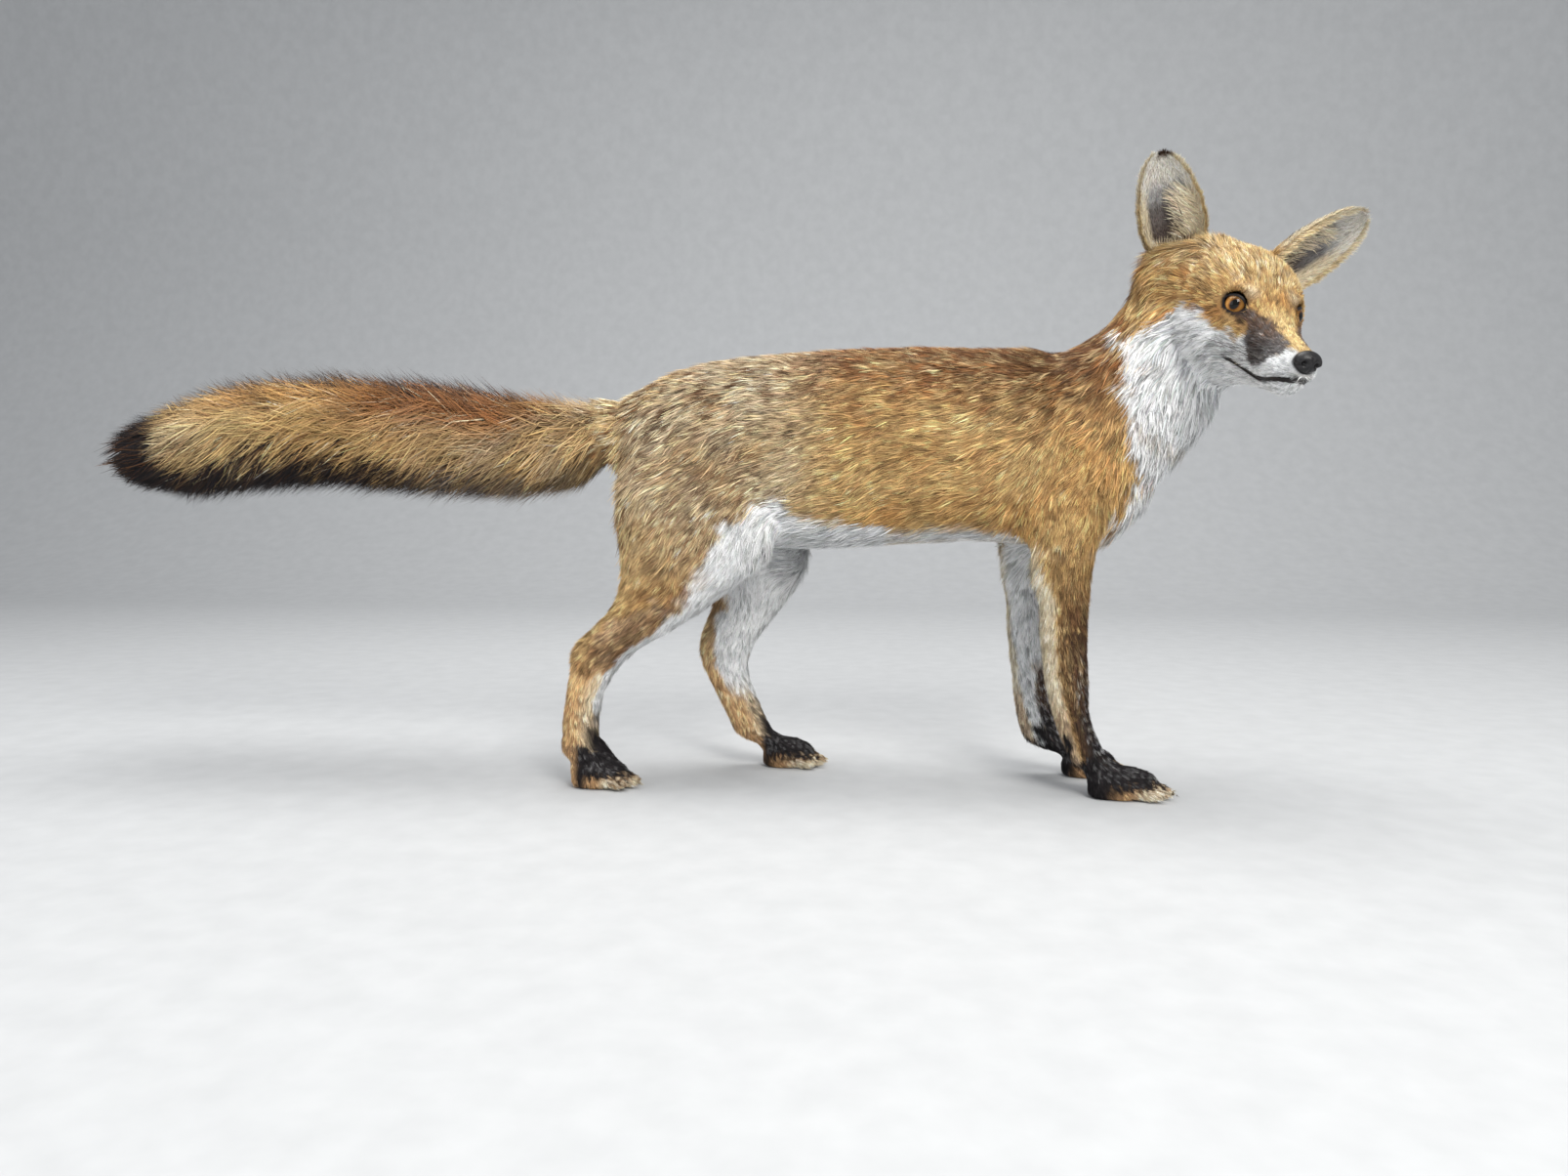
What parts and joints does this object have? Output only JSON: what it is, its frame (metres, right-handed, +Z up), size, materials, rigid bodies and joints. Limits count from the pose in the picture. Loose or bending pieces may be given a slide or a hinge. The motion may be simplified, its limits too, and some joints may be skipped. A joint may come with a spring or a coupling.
{
  "type": "taxidermy fox",
  "caption": "Life-size mounted red fox standing on all its feet, with a bushy tail held straight back and the head turned to its right.",
  "frame": {"origin": "the middle of the bounding box's base, on the floor the fox stands on", "axes": "+X towards the fox's chest, away from its tail; +Y towards its left side; +Z up"},
  "size_m": [1.0856, 0.2194, 0.5176],
  "materials": {
    "coat": "rufous brown to golden fur, dense and short on the body, long on the tail",
    "pale_coat": "white fur",
    "dark_coat": "short black fur with tan toes and pale claws",
    "eye": "polished amber glass with a black pupil",
    "nose": "black, semi-gloss"
  },
  "bodies": {
    "root": {"ear_left": "coat", "ear_right": "coat", "eye_left": "eye", "eye_right": "eye", "foreleg_left_forearm": "coat", "foreleg_left_pastern": "coat", "foreleg_left_paw": "dark_coat", "foreleg_right_forearm": "coat", "foreleg_right_pastern": "coat", "foreleg_right_paw": "dark_coat", "head": "coat", "hindleg_left_hock": "coat", "hindleg_left_paw": "dark_coat", "hindleg_left_shank": "coat", "hindleg_left_thigh": "coat", "hindleg_right_hock": "coat", "hindleg_right_paw": "dark_coat", "hindleg_right_shank": "coat", "hindleg_right_thigh": "coat", "lower_jaw": "pale_coat", "neck": "coat", "nose": "nose", "tail": "coat", "tail_root": "coat", "torso": "coat"}
  },
  "joints": []
}
